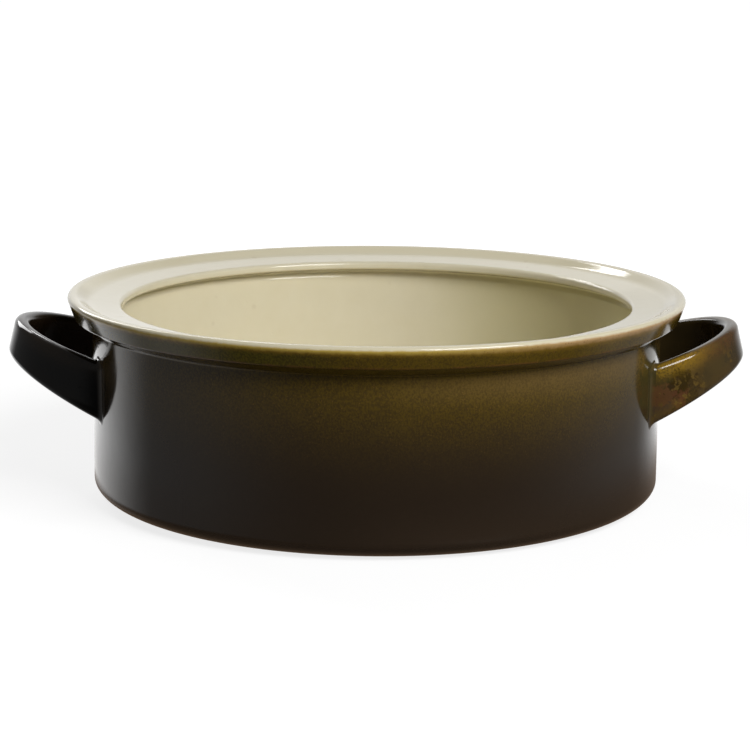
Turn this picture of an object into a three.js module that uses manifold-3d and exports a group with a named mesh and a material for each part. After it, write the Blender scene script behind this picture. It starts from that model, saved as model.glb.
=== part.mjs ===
// Stoneware casserole dish with a wide lid-seat rim and two strap handles.
// Millimetres, +Z up. Origin on the table under the middle of the foot.
// X runs through the two handles, and the front of the dish faces -Y.
import * as THREE from 'three';
import { mergeVertices } from 'three/addons/utils/BufferGeometryUtils.js';
import Module from 'manifold-3d';

const wasm = await Module();
wasm.setup();

// Turned body, sizes of the bare clay
const wallRadius = 122;
const wallThickness = 5.5;
const bodyHeight = 87.3;

// Foot and floor
const footRecess = 2;
const footWidth = 8;
const footBevel = 2;
const floorThickness = 6;
const floorCorner = 12;
const baseCornerOut = 16.5;
const baseCornerUp = 8;

// Rim: lip, outer face, lid seat and inner edge
const rimOverhangOut = 10.2;
const rimOverhangIn = 6.2;
const lipRound = 1.7;
const lipCrestFall = 0.3;
const rimFaceHeight = 6.4;
const rimFaceTaper = 2.4;
const outerCoveDrop = 6.6;
const seatDrop = 3.8;
const seatWidth = 9.2;
const innerEdgeRound = 1.9;
const innerEdgeHeight = 2.8;
const innerCoveDrop = 6;

// Glaze coats
const glazeThickness = 0.5;

// Strap handles, sizes of the bare clay
const handleReach = 32.7;
const handleHalfSpan = 39.5;
const strapThickness = 5.4;
const strapEdgeRound = 2.2;
const rootHeight = 24.6;
const tipHeight = 15;
const rootBelowCove = 10.4;
const tipTopRise = 13;
const tipLeanDegrees = 14;

// Slip joints where the straps meet the wall
const slipGap = 0.3;
const slipEdge = 0.5;
const slipFlare = 1.4;
const slipHeight = 2.4;

// Facets
const turnSegments = 60;
const strapSteps = 14;

// Half section of the clay, as radius and height

const wallInner = wallRadius - wallThickness;
const footOuter = wallRadius - baseCornerOut;
const footInner = footOuter - footWidth;
const floorTop = footRecess + floorThickness;
const lipRadius = wallRadius + rimOverhangOut;
const lipShoulder = bodyHeight - lipRound;
const faceLowRadius = lipRadius - rimFaceTaper;
const faceLow = lipShoulder - rimFaceHeight;
const coveStart = faceLow - outerCoveDrop;
const openingRadius = wallInner - rimOverhangIn;
const seatHeight = bodyHeight - seatDrop;
const seatInner = openingRadius + innerEdgeRound;
const seatOuter = seatInner + seatWidth;
const crestRadius = lipRadius - lipRound;
const edgeLow = seatHeight - innerEdgeHeight;

const point = (r, z) => new THREE.Vector2(r, z);
const steps = (count, make) => Array.from({ length: count }, (_, i) => make(((i + 1) / count) * Math.PI / 2));

// The corner that lifts off the table and turns up into the wall
const baseCorner = steps(4, (a) => point(
  footOuter + baseCornerOut * Math.sin(a),
  baseCornerUp * (1 - Math.cos(a)),
));

// The hollow under the rim, from the wall out to the low edge of the rim's face
const outerCove = steps(3, (a) => point(
  wallRadius + (faceLowRadius - wallRadius) * (1 - Math.cos(a)),
  coveStart + outerCoveDrop * Math.sin(a),
));

// The lip is round on top and falls in a soft hollow to the lid seat
const lipSlope = (share) => {
  const drop = 0.5 - 0.5 * Math.cos(share * Math.PI);
  const start = crestRadius - lipRound;
  const fall = lipCrestFall + (seatDrop - lipCrestFall) * drop;
  return point(start + (seatOuter - start) * share, bodyHeight - fall);
};

// The inner edge rolls over, and a hollow under it runs back to the inside of the wall
const innerCoveRadius = openingRadius + 0.3 * innerEdgeHeight;
const innerCove = steps(3, (a) => point(
  innerCoveRadius + (wallInner - innerCoveRadius) * Math.sin(a),
  edgeLow - innerCoveDrop * (1 - Math.cos(a)),
));

const floorCurve = steps(3, (a) => point(
  wallInner - floorCorner * (1 - Math.cos(a)),
  floorTop + floorCorner * (1 - Math.sin(a)),
));

const glazeLine = point(lipRadius, lipShoulder);

// Clay under the brown coat, from the base corner up to the line where the two glazes meet
const outsideProfile = [
  ...baseCorner,
  point(wallRadius, coveStart),
  ...outerCove,
  glazeLine,
];

// Clay under the cream coat, from that line over the rim and down to the middle of the floor
const insideProfile = [
  glazeLine,
  point(lipRadius - 0.3 * lipRound, bodyHeight - 0.3 * lipRound),
  point(crestRadius, bodyHeight),
  lipSlope(0),
  lipSlope(1 / 3),
  lipSlope(2 / 3),
  lipSlope(1),
  point(seatInner, seatHeight),
  point(openingRadius + 0.3 * innerEdgeRound, seatHeight - 0.3 * innerEdgeRound),
  point(openingRadius, seatHeight - 0.9 * innerEdgeRound),
  point(openingRadius, edgeLow + 0.2 * innerEdgeHeight),
  point(innerCoveRadius, edgeLow),
  ...innerCove,
  point(wallInner, floorTop + floorCorner),
  ...floorCurve,
  point(0, floorTop),
];

const clayProfile = [
  point(0, footRecess),
  point(footInner - footBevel, footRecess),
  point(footInner, 0),
  point(footOuter, 0),
  ...outsideProfile,
  ...insideProfile.slice(1),
];

// Moves a run of the clay profile outwards by the thickness of a coat

const fullRun = [point(footOuter, 0), ...outsideProfile, ...insideProfile.slice(1)];

function coated(run) {
  return run.map((p) => {
    const i = fullRun.indexOf(p);
    const back = fullRun[Math.max(i - 1, 0)];
    const next = fullRun[Math.min(i + 1, fullRun.length - 1)];
    const a = p.clone().sub(i > 0 ? back : p);
    const b = (i < fullRun.length - 1 ? next : p).clone().sub(p);
    const na = point(a.y, -a.x).normalize();
    const nb = point(b.y, -b.x).normalize();
    const n = na.clone().add(nb).normalize();
    const reach = glazeThickness / Math.max(n.dot(i > 0 ? na : nb), 0.5);
    const q = p.clone().addScaledVector(n, reach);
    return p.x === 0 ? point(0, p.y + glazeThickness) : q;
  });
}

// Solids

function turned(profile) {
  const geometry = new THREE.LatheGeometry(profile, turnSegments);
  geometry.rotateX(Math.PI / 2);
  return outward(geometry);
}

// Welds a geometry and turns its faces to point out
function outward(geometry) {
  geometry.deleteAttribute('normal');
  geometry.deleteAttribute('uv');
  const welded = mergeVertices(geometry, 1e-4);
  const pos = welded.getAttribute('position');
  const faces = [];
  let volume = 0;
  const a = new THREE.Vector3();
  const b = new THREE.Vector3();
  const c = new THREE.Vector3();
  for (let i = 0; i < welded.index.count; i += 3) {
    const face = [0, 1, 2].map((k) => welded.index.getX(i + k));
    if (face[0] === face[1] || face[1] === face[2] || face[0] === face[2]) continue;
    a.fromBufferAttribute(pos, face[0]);
    b.fromBufferAttribute(pos, face[1]);
    c.fromBufferAttribute(pos, face[2]);
    volume += a.dot(b.cross(c)) / 6;
    faces.push(...face);
  }
  if (volume < 0) {
    for (let i = 0; i < faces.length; i += 3) {
      [faces[i + 1], faces[i + 2]] = [faces[i + 2], faces[i + 1]];
    }
  }
  welded.setIndex(faces);
  return welded;
}

function solid(geometry) {
  return new wasm.Manifold(new wasm.Mesh({
    numProp: 3,
    vertProperties: new Float32Array(geometry.getAttribute('position').array),
    triVerts: new Uint32Array(geometry.index.array),
  }));
}

function geometryOf(manifold) {
  const mesh = manifold.getMesh();
  const geometry = new THREE.BufferGeometry();
  geometry.setAttribute('position', new THREE.BufferAttribute(new Float32Array(mesh.vertProperties), 3));
  geometry.setIndex([...mesh.triVerts]);
  return geometry;
}

// Rings of points joined one after another into a skin
function skin(rings, faces, start, inside) {
  const n = rings[0].length;
  for (let r = 0; r + 1 < rings.length; r += 1) {
    for (let k = 0; k < n; k += 1) {
      const p = start + r * n + k;
      const q = start + r * n + ((k + 1) % n);
      const first = [p, q, q + n];
      const second = [p, q + n, p + n];
      faces.push(...(inside ? first.reverse() : first), ...(inside ? second.reverse() : second));
    }
  }
}

function fromPoints(points, faces) {
  const geometry = new THREE.BufferGeometry();
  geometry.setAttribute('position', new THREE.Float32BufferAttribute(points.flatMap((p) => p.toArray()), 3));
  geometry.setIndex(faces);
  return outward(geometry);
}

// A solid bar through the rings, closed flat at both ends
function bar(rings) {
  const n = rings[0].length;
  const faces = [];
  const last = (rings.length - 1) * n;
  skin(rings, faces, 0, false);
  for (let k = 1; k + 1 < n; k += 1) {
    faces.push(0, k + 1, k, last, last + k, last + k + 1);
  }
  return fromPoints(rings.flat(), faces);
}

// A sleeve between an inner and an outer set of rings, open through its length
function sleeve(inner, outer) {
  const n = inner[0].length;
  const faces = [];
  const shift = inner.length * n;
  const last = (inner.length - 1) * n;
  skin(inner, faces, 0, true);
  skin(outer, faces, shift, false);
  for (let k = 0; k < n; k += 1) {
    const m = (k + 1) % n;
    faces.push(shift + k, m, shift + m, shift + k, k, m);
    faces.push(shift + last + k, shift + last + m, last + m, shift + last + k, last + m, last + k);
  }
  return fromPoints([...inner.flat(), ...outer.flat()], faces);
}

// The strap follows half an ellipse in plan, from the front root round the tip to the rear root

const rootPlane = Math.sqrt(wallRadius ** 2 - handleHalfSpan ** 2) - 0.25 * strapThickness;
const tipPlane = wallRadius + handleReach;
const loopDepth = tipPlane - rootPlane;
const rootTop = coveStart - rootBelowCove;
const rootMiddle = rootTop - rootHeight / 2;
const tipMiddle = rootTop + tipTopRise - tipHeight / 2;

// A place along the strap: an angle round the loop, and how far it runs straight into the wall
function placeOnStrap(angle, straight) {
  const rise = Math.sin(angle);
  const normal = new THREE.Vector3(Math.sin(angle) / loopDepth, -Math.cos(angle) / handleHalfSpan, 0);
  return {
    middle: new THREE.Vector3(
      rootPlane + loopDepth * rise - straight,
      -handleHalfSpan * Math.cos(angle),
      rootMiddle + (tipMiddle - rootMiddle) * rise,
    ),
    normal: normal.normalize(),
    height: rootHeight + (tipHeight - rootHeight) * rise,
    lean: THREE.MathUtils.degToRad(tipLeanDegrees) * rise,
  };
}

// Rounded section of the strap at a place, grown by a margin that may vary from point to point
function section(place, margin) {
  const half = [strapThickness / 2, place.height / 2];
  const round = Math.min(strapEdgeRound, 0.95 * half[0], 0.95 * half[1]);
  const ring = [];
  for (const [sn, sh] of [[1, 1], [-1, 1], [-1, -1], [1, -1]]) {
    const turn = Math.atan2(sh, sn);
    for (const spread of [-Math.PI / 4, 0, Math.PI / 4]) {
      const a = turn + spread;
      const n = sn * (half[0] - round) + round * Math.cos(a);
      const h = sh * (half[1] - round) + round * Math.sin(a);
      const put = (grow) => {
        const gn = n + grow * Math.cos(a);
        const gh = h + grow * Math.sin(a);
        const across = gn * Math.cos(place.lean) - gh * Math.sin(place.lean);
        const up = gn * Math.sin(place.lean) + gh * Math.cos(place.lean);
        const p = place.middle.clone().addScaledVector(place.normal, across);
        p.z += up;
        return p;
      };
      ring.push(put(typeof margin === 'function' ? margin(put(0)) : margin));
    }
  }
  return ring;
}

// Angle past which the slip joint is over and the glaze of the strap begins
const innerMeet = Math.sqrt(wallRadius ** 2 - (handleHalfSpan - strapThickness / 2) ** 2) - rootPlane;
const rootRun = innerMeet + slipHeight;
const jointAngle = rootRun / handleHalfSpan;
const glazeAngle = (rootRun + slipGap) / handleHalfSpan;
const intoWall = wallThickness;

const glazedPlaces = Array.from({ length: strapSteps + 1 }, (_, i) => (
  placeOnStrap(glazeAngle + (Math.PI - 2 * glazeAngle) * (i / strapSteps), 0)
));
const strapPlaces = [
  placeOnStrap(0, intoWall),
  placeOnStrap(0, 0),
  ...glazedPlaces,
  placeOnStrap(Math.PI, 0),
  placeOnStrap(Math.PI, intoWall),
];

// The slip thickens towards the wall in a small hollow curve
function slipMargin(p) {
  const away = (Math.hypot(p.x, p.y) - wallRadius - slipEdge) / (slipHeight - slipEdge);
  const near = THREE.MathUtils.clamp(1 - away, 0, 1);
  return slipGap + slipEdge + slipFlare * near * near;
}

const wallCutter = solid(turned([
  point(0, -slipGap),
  point(wallRadius + slipGap, -slipGap),
  point(wallRadius + slipGap, bodyHeight + slipGap),
  point(0, bodyHeight + slipGap),
]));

const strapBar = solid(bar(strapPlaces.map((p) => section(p, 0))));
const strapClear = solid(bar(strapPlaces.map((p) => section(p, slipGap))));
const strapClay = strapBar.subtract(wallCutter);
const strapGlaze = sleeve(
  glazedPlaces.map((p) => section(p, 0)),
  glazedPlaces.map((p) => section(p, glazeThickness)),
);

function slipJoint(rear) {
  const at = (angle, straight) => placeOnStrap(rear ? Math.PI - angle : angle, straight);
  const places = [at(0, intoWall), at(0, 0)];
  for (const share of [0.25, 0.5, 0.75, 1]) places.push(at(jointAngle * share, 0));
  const flared = solid(bar(places.map((p) => section(p, slipMargin))));
  return flared.subtract(wallCutter).subtract(strapClear);
}

function rootWindow(rear, turn) {
  const at = (angle, straight) => placeOnStrap(rear ? Math.PI - angle : angle, straight);
  const margin = 2 * slipGap + slipEdge + slipFlare;
  const window = bar([at(0, intoWall), at(0, 0), at(jointAngle, 0)].map((p) => section(p, margin)));
  return solid(window.rotateZ(turn));
}

// Coats of the body, with windows in the brown one where the straps are joined to bare clay

const closedRing = (run) => {
  const ring = [...run, ...coated(run).reverse()];
  return [...ring, ring[0]];
};

let brownCoat = solid(turned(closedRing(outsideProfile)));
for (const rear of [false, true]) {
  for (const turn of [0, Math.PI]) {
    brownCoat = brownCoat.subtract(rootWindow(rear, turn));
  }
}

const creamCoat = turned([...insideProfile.slice().reverse(), ...coated(insideProfile)]);

// Finishes

const clayFinish = () => new THREE.MeshStandardMaterial({ color: 0xa9805c, roughness: 0.85, metalness: 0 });
const brownFinish = () => new THREE.MeshStandardMaterial({ color: 0x2f2413, roughness: 0.22, metalness: 0 });
const creamFinish = () => new THREE.MeshStandardMaterial({ color: 0xd2c6a3, roughness: 0.2, metalness: 0 });

function piece(name, geometry, material) {
  const mesh = new THREE.Mesh(geometry, material);
  mesh.name = name;
  return mesh;
}

// Assembly

const dish = new THREE.Group();
dish.add(piece('clay_body', turned(clayProfile), clayFinish()));
dish.add(piece('cream_liner_glaze', creamCoat, creamFinish()));
dish.add(piece('brown_outer_glaze', geometryOf(brownCoat), brownFinish()));

// The left handle is the right one turned half way round, so its front root is the other's rear root
const sides = [
  { side: 'right', turn: 0, first: 'front', second: 'rear' },
  { side: 'left', turn: Math.PI, first: 'rear', second: 'front' },
];
for (const { side, turn, first, second } of sides) {
  const handle = new THREE.Group();
  handle.rotation.z = turn;
  handle.add(piece(`${side}_handle_strap`, geometryOf(strapClay), clayFinish()));
  handle.add(piece(`${side}_handle_glaze`, strapGlaze.clone(), brownFinish()));
  handle.add(piece(`${side}_${first}_slip_joint`, geometryOf(slipJoint(false)), brownFinish()));
  handle.add(piece(`${side}_${second}_slip_joint`, geometryOf(slipJoint(true)), brownFinish()));
  dish.add(handle);
}

export default dish;
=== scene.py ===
# %% [markdown]
# A stoneware casserole dish
#
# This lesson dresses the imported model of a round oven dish. The dish has a dark brown glaze
# outside, a cream glaze inside, a wide rim with a ledge for a lid, and a strap handle on each
# side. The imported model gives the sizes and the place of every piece. Here each piece is made
# again with finer curves, and then gets a finish that looks like fired glaze.

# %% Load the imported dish
import math

import bmesh
import bpy
from mathutils import Matrix, Vector


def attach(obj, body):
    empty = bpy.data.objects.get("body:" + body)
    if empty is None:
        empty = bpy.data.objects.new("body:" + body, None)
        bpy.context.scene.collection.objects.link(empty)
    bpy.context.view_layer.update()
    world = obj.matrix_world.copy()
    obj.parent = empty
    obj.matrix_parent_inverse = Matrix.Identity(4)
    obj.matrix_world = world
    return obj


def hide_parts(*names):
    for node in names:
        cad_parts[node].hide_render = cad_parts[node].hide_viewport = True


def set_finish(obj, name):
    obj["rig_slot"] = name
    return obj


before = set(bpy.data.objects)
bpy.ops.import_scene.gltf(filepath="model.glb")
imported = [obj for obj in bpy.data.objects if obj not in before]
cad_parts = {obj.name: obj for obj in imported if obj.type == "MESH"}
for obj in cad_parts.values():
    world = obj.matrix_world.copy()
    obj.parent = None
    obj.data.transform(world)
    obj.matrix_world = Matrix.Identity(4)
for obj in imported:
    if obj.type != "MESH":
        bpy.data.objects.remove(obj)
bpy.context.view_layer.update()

print("packed nodes:", ", ".join(sorted(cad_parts)))

# %% [markdown]
# The half section of the clay
#
# A body like this is turned on a wheel, so one half section holds its whole shape. It could be
# drawn as a curve and turned with a Screw modifier. Plain lists of corners are used instead,
# because each corner then carries its own rounding, as a potter's rib leaves it, and the two
# coats of glaze can follow the very same line. A corner is (radius, height, rounding) in mm. The
# base is a quarter of an ellipse: radius and height of its centre, and its reach out and down.

# %% Corners of the clay section
WALL_RADIUS = 122.0

foot_corners = [(0, 2, 0), (95.5, 2, 0.9), (97.5, 0, 0.7), (105.5, 0, 0)]
base_turn = (105.5, 8.0, 16.5, 8.0)
rim_corners = [
    (WALL_RADIUS, 75.0, 1.6),
    (129.8, 79.2, 0.5),
    (132.9, 87.3, 1.4),
    (129.5, 87.3, 4.5),
    (123.9, 84.15, 10.0),
    (110.2, 82.6, 2.0),
    (110.2, 80.2, 0.6),
    (118.0, 78.0, 1.8),
    (116.5, 74.8, 2.5),
    (116.5, 8.0, 12.0),
    (0, 8.0, 0),
]
print("corners in the section:", len(foot_corners) + len(rim_corners))

# %% [markdown]
# Rounding the corners
#
# A Bevel modifier would round every edge alike. This helper puts a true arc in each corner, with
# points close together on the arc and far apart on the straight runs. A point close to each end
# of a straight run keeps the run flat when the mesh is shaded smooth.

# %% A helper that rounds a line of corners
ARC_STEP = math.radians(7)
RUN_STEP = 7.0
HOLD = 0.5
MOST_OF_RUN = 0.48
TINY = 1e-6


def straight_run(start, end):
    """Points between two ends of a straight run, with one close to each end."""
    length = (end - start).length
    if length < 4 * HOLD:
        return []
    stops = [HOLD]
    parts = max(1, math.ceil((length - 2 * HOLD) / RUN_STEP))
    stops += [HOLD + (length - 2 * HOLD) * k / parts for k in range(1, parts + 1)]
    return [start.lerp(end, stop / length) for stop in stops]


def rounded_line(corners):
    """The corners as a smooth line of points: arcs at the corners, straight runs between."""
    places = [Vector(corner[:2]) for corner in corners]
    line = [places[0]]
    for back, here, ahead, corner in zip(places, places[1:], places[2:], corners[1:]):
        into, out = (here - back).normalized(), (ahead - here).normalized()
        turn = into.angle_signed(out, 0)
        room = MOST_OF_RUN * min((here - back).length, (ahead - here).length)
        reach = min(corner[2] * math.tan(abs(turn) / 2), room)
        if reach < TINY:
            arc = [here]
        else:
            radius = reach / math.tan(abs(turn) / 2)
            side = Vector((-into.y, into.x)) * (-1 if turn > 0 else 1)
            first = here - into * reach
            centre = first + side * radius
            steps = max(2, math.ceil(abs(turn) / ARC_STEP))
            arc = [centre + Matrix.Rotation(-turn * k / steps, 2) @ (first - centre)
                   for k in range(steps + 1)]
        line += straight_run(line[-1], arc[0]) + arc
    return line + straight_run(line[-1], places[-1]) + [places[-1]]


sample = rounded_line([(0, 0, 0), (10, 0, 2), (10, 10, 0)])
print("a rounded corner as points:", [(round(p.x, 2), round(p.y, 2)) for p in sample])

# %% [markdown]
# The full line of the clay, and the line of the glaze over it
#
# The bottom corner of the dish is a flat quarter of an ellipse that lifts off the table and turns
# up into the wall. Glaze lies on the clay in a coat half a millimetre thick, so the glazed line
# is the clay line moved out along its own normals. At the foot the coat was wiped off before the
# firing, and it ends there in a small round bead.

# %% Clay line and its normals
COAT = 0.5
GLAZE_FOOT_TURN = math.radians(25)
GLAZE_LINE_HEIGHT, RIM_FACE_RADIUS = 86.1, 130.0
BASE_STEPS = 22

centre_r, centre_z, out, up = base_turn
base_curve = [
    Vector((centre_r + out * math.sin(a), centre_z - up * math.cos(a)))
    for a in (math.pi / 2 * k / BASE_STEPS for k in range(1, BASE_STEPS + 1))
]
foot_line = rounded_line(foot_corners)
rim_line = rounded_line([(base_curve[-1].x, base_curve[-1].y, 0)] + rim_corners)
clay_line = foot_line + base_curve + rim_line[1:]


def line_normals(line):
    """The outward normal at each point of a section line."""
    normals = []
    for k in range(len(line)):
        along = line[min(k + 1, len(line) - 1)] - line[max(k - 1, 0)]
        normals.append(Vector((along.y, -along.x)).normalized())
    normals[0], normals[-1] = Vector((0, -1)), Vector((0, 1))
    return normals


clay_normals = line_normals(clay_line)
foot_end = len(foot_line) + int(GLAZE_FOOT_TURN / (math.pi / 2) * BASE_STEPS)
lip_meeting = next(
    k for k, p in enumerate(clay_line)
    if p.x > RIM_FACE_RADIUS and p.y + COAT * clay_normals[k].y > GLAZE_LINE_HEIGHT
)
print("points in the clay line:", len(clay_line), "of which glazed brown:", lip_meeting - foot_end)

# %% The coat over a run of the clay
BEAD = 0.9


def coat_over(first, last, bead_at_start=False):
    """Points of the glazed surface over clay points first to last."""
    coat, gone = [], 0.0
    for k in range(first, last + 1):
        if k > first:
            gone += (clay_line[k] - clay_line[k - 1]).length
        share = min(gone / BEAD, 1) if bead_at_start else 1
        thick = COAT * math.sqrt(1 - (1 - share) ** 2)
        coat.append(clay_line[k] + clay_normals[k] * thick)
    return coat


brown_line = coat_over(foot_end, lip_meeting, bead_at_start=True)
cream_line = coat_over(lip_meeting, len(clay_line) - 1)
print("lip of the dish in mm: radius", round(max(p.x for p in brown_line + cream_line), 2),
      "height", round(max(p.y for p in cream_line), 2))

# %% [markdown]
# Turning a section into a body
#
# The Screw modifier or bmesh's spin would do this too. Writing the rings out keeps one vertex at
# the axis, no doubled seam, and quads everywhere else. The same helper turns the clay and the cream
# coat, whose lines start and end on the axis, and the brown coat, whose line is a closed loop.

# %% A helper that turns a section round the axis
MM = 0.001


def turned(section, turns, loop=False):
    """Points and faces of a section turned round the Z axis."""
    points, rings, faces = [], [], []
    for spot in section:
        if spot.x < TINY:
            rings.append([len(points)] * turns)
            points.append((0, 0, spot.y * MM))
            continue
        rings.append(list(range(len(points), len(points) + turns)))
        for k in range(turns):
            a = 2 * math.pi * k / turns
            points.append((spot.x * MM * math.cos(a), spot.x * MM * math.sin(a), spot.y * MM))
    for low, high in zip(rings, rings[1:] + rings[:1] if loop else rings[1:]):
        for k in range(turns):
            m = (k + 1) % turns
            faces.append(tuple(dict.fromkeys((low[k], low[m], high[m], high[k]))))
    return points, faces


print("points of a turned corner:", len(turned(sample, 12)[0]))

# %% A helper that makes a piece of the dish
SHARP = math.radians(45)
pieces = {}


def make_piece(name, points, faces, node, finish):
    """A closed mesh that rides on the dish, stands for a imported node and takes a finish."""
    mesh = bpy.data.meshes.new(name)
    mesh.from_pydata(points, [], faces)
    form = bmesh.new()
    form.from_mesh(mesh)
    bmesh.ops.recalc_face_normals(form, faces=form.faces)
    open_edges = sum(not edge.is_manifold for edge in form.edges)
    volume = form.calc_volume()
    form.to_mesh(mesh)
    form.free()
    mesh.shade_smooth()
    mesh.set_sharp_from_angle(angle=SHARP)
    piece = bpy.data.objects.new(name, mesh)
    bpy.context.scene.collection.objects.link(piece)
    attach(piece, "root")
    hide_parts(node)
    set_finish(piece, finish)
    pieces[name] = piece
    print(f"{name}: {len(faces)} faces, {volume * 1e6:.1f} cm3, open edges {open_edges}")


print("pieces made so far:", len(pieces))

# %% [markdown]
# The turned body and its two coats
#
# On the real dish these are the fired clay, the cream liner that runs over the lid seat and the
# lip, and the brown coat from the lip down to the foot. Each coat is a thin closed shell on the
# clay, so that the dish can be taken apart in the model as it was put together.

# %% Clay body, cream coat and brown coat
CLAY_TURNS = 96
COAT_TURNS = 192

make_piece("turned_clay", *turned(clay_line, CLAY_TURNS), "clay_body", "bare_clay")

cream_back = clay_line[lip_meeting:][::-1]
make_piece("cream_coat", *turned(cream_back + cream_line, COAT_TURNS),
           "cream_liner_glaze", "cream_glaze")

brown_back = clay_line[foot_end + 1:lip_meeting + 1][::-1]
make_piece("brown_coat", *turned(brown_line + brown_back, COAT_TURNS, loop=True),
           "brown_outer_glaze", "brown_glaze")

# %% [markdown]
# The strap handles
#
# Each handle is a flat strip of clay bent into a loop and stuck to the wall. Seen from above it
# follows half an ellipse. It is tall at its roots, low at its tip, climbs towards the tip, and
# leans in at the top. A curve with a bevel object could follow the loop, but it can't change the
# height of the strip as it goes, so the sections are placed one by one.

# %% Sizes of a strap, in mm
HALF_SPAN = 39.5
STRAP_THICK = 5.4
STRAP_ROUND = 2.2
ROOT_HEIGHT, TIP_HEIGHT = 24.6, 15.0
ROOT_MIDDLE, TIP_MIDDLE = 49.9, 67.7
TIP_LEAN = math.radians(14)
TIP_RADIUS = 154.7
ROOT_DEPTH = 0.25 * STRAP_THICK
ROOT_PLANE = math.sqrt(WALL_RADIUS ** 2 - HALF_SPAN ** 2) - ROOT_DEPTH
LOOP_DEPTH = TIP_RADIUS - ROOT_PLANE
print("loop of a strap in mm: depth", round(LOOP_DEPTH, 1), "width", 2 * HALF_SPAN)

# %% Spots round the section of a strap
CORNER_STEPS = 8
SIDE_STEPS = 9
TOP_STEPS = 2


def strap_spots():
    """Places round a rounded oblong: share across, share up, and the angle that faces out."""
    spots = []
    corners = [(1, 1, 0), (-1, 1, 90), (-1, -1, 180), (1, -1, 270)]
    for k, (across, up, start) in enumerate(corners):
        for s in range(CORNER_STEPS + 1):
            spots.append((across, up, math.radians(start + 90 * s / CORNER_STEPS)))
        next_across, next_up, _ = corners[(k + 1) % 4]
        steps = TOP_STEPS if next_up == up else SIDE_STEPS
        for s in range(1, steps):
            share = s / steps
            spots.append((across + (next_across - across) * share, up + (next_up - up) * share,
                          math.radians(start + 90)))
    return spots


spots = strap_spots()
print("spots round a strap:", len(spots))

# %% A point on a strap
ROOT_SEARCH, SEARCH_STEPS = 0.6, 40


def strap_height(rise):
    """Height of the strip, by how far it has climbed from root to tip."""
    return ROOT_HEIGHT + (TIP_HEIGHT - ROOT_HEIGHT) * rise


def strap_point(angle, spot, margin):
    """A point in mm on the right strap, at an angle round its loop, margin above the clay."""
    across_share, up_share, facing = spot
    rise = math.sin(angle)
    lean = TIP_LEAN * rise
    rounding = STRAP_ROUND + margin
    across = across_share * (STRAP_THICK / 2 - STRAP_ROUND) + rounding * math.cos(facing)
    up = up_share * (strap_height(rise) / 2 - STRAP_ROUND) + rounding * math.sin(facing)
    outward = Vector((math.sin(angle) / LOOP_DEPTH, -math.cos(angle) / HALF_SPAN, 0)).normalized()
    middle = Vector((ROOT_PLANE + LOOP_DEPTH * rise, -HALF_SPAN * math.cos(angle),
                     ROOT_MIDDLE + (TIP_MIDDLE - ROOT_MIDDLE) * rise))
    point = middle + outward * (across * math.cos(lean) - up * math.sin(lean))
    point.z += across * math.sin(lean) + up * math.cos(lean)
    return point


def angle_at_wall(spot, margin, radius):
    """The angle at which a spot of the strap stands at this radius from the dish's axis."""
    low, high = 0.0, ROOT_SEARCH
    for _ in range(SEARCH_STEPS):
        middle = (low + high) / 2
        if strap_point(middle, spot, margin).xy.length < radius:
            low = middle
        else:
            high = middle
    return high


print("tip of a strap in mm:", [round(v, 1) for v in strap_point(math.pi / 2, (1, 0, 0), COAT)])

# %% [markdown]
# Where a strap meets the wall
#
# The potter smooths soft slip into the corner between strap and wall, which leaves a small hollow
# fillet. A boolean with a bevel could make it, but would leave ragged triangles in the shine. Here
# each row of the fillet keeps one distance from the wall, and stands off the strap by what a
# quarter circle gives at that distance, so it leaves both surfaces without an edge.

# %% Rows of points along a strap and round its roots
FILLET, SINK = 2.0, 0.25
FILLET_STEPS = 8
STRAP_STEPS = 84
GLAZED_WALL = WALL_RADIUS + COAT


def root_angles(margin, off_wall):
    """The angle of each spot where the strap stands off the glazed wall by a distance."""
    return [angle_at_wall(spot, margin, GLAZED_WALL + off_wall) for spot in spots]


def level_row(margin, off_wall, rear):
    """A row round one root of the strap, all at one distance from the glazed wall."""
    angles = root_angles(margin, off_wall)
    return [strap_point(math.pi - a if rear else a, spot, margin) for a, spot in zip(angles, spots)]


def strap_rows(margin, off_wall):
    """Rows from the front root to the rear root."""
    starts = root_angles(margin, off_wall)
    return [
        [strap_point(a + (math.pi - 2 * a) * s / STRAP_STEPS, spot, margin)
         for a, spot in zip(starts, spots)]
        for s in range(STRAP_STEPS + 1)
    ]


def fillet_rows(rear):
    """Rows round the section of the slip fillet, from the wall up to the strap and back inside."""
    rows = [level_row(COAT + FILLET, -SINK, rear)]
    for s in range(FILLET_STEPS + 1):
        turn = math.pi / 2 * s / FILLET_STEPS
        stand_off = FILLET * (1 - math.sin(turn))
        rows.append(level_row(COAT + stand_off, FILLET * (1 - math.cos(turn)), rear))
    return rows + [level_row(0, FILLET, rear), level_row(0, -SINK, rear)]


print("rows in a fillet:", len(fillet_rows(False)))

# %% A helper that skins rows of points
def skinned(rows, loop=False, turn_round=False):
    """Points in metres and faces of rows that each go round; the ends are closed with a fan."""
    spin = -1 if turn_round else 1
    points = [(spin * p.x * MM, spin * p.y * MM, p.z * MM) for row in rows for p in row]
    count = len(rows[0])
    faces = []
    for r in range(len(rows) if loop else len(rows) - 1):
        low, high = r * count, (r + 1) % len(rows) * count
        for k in range(count):
            m = (k + 1) % count
            faces.append((low + k, low + m, high + m, high + k))
    if not loop:
        for row, flip in ((0, True), (len(rows) - 1, False)):
            ring = range(row * count, (row + 1) * count)
            middle = sum((Vector(points[k]) for k in ring), Vector()) / count
            points.append(tuple(middle))
            hub = len(points) - 1
            faces += [(ring[k], ring[(k + 1) % count], hub)[::-1 if flip else 1]
                      for k in range(count)]
    return points, faces


print("faces on the skin of a fillet:", len(skinned(fillet_rows(False), loop=True)[1]))

# %% Straps, their coats and the slip fillets, right and left
strap_clay_rows = strap_rows(0, -COAT)
strap_coat_rows = strap_rows(COAT, FILLET) + strap_rows(0, FILLET)[::-1]

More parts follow.
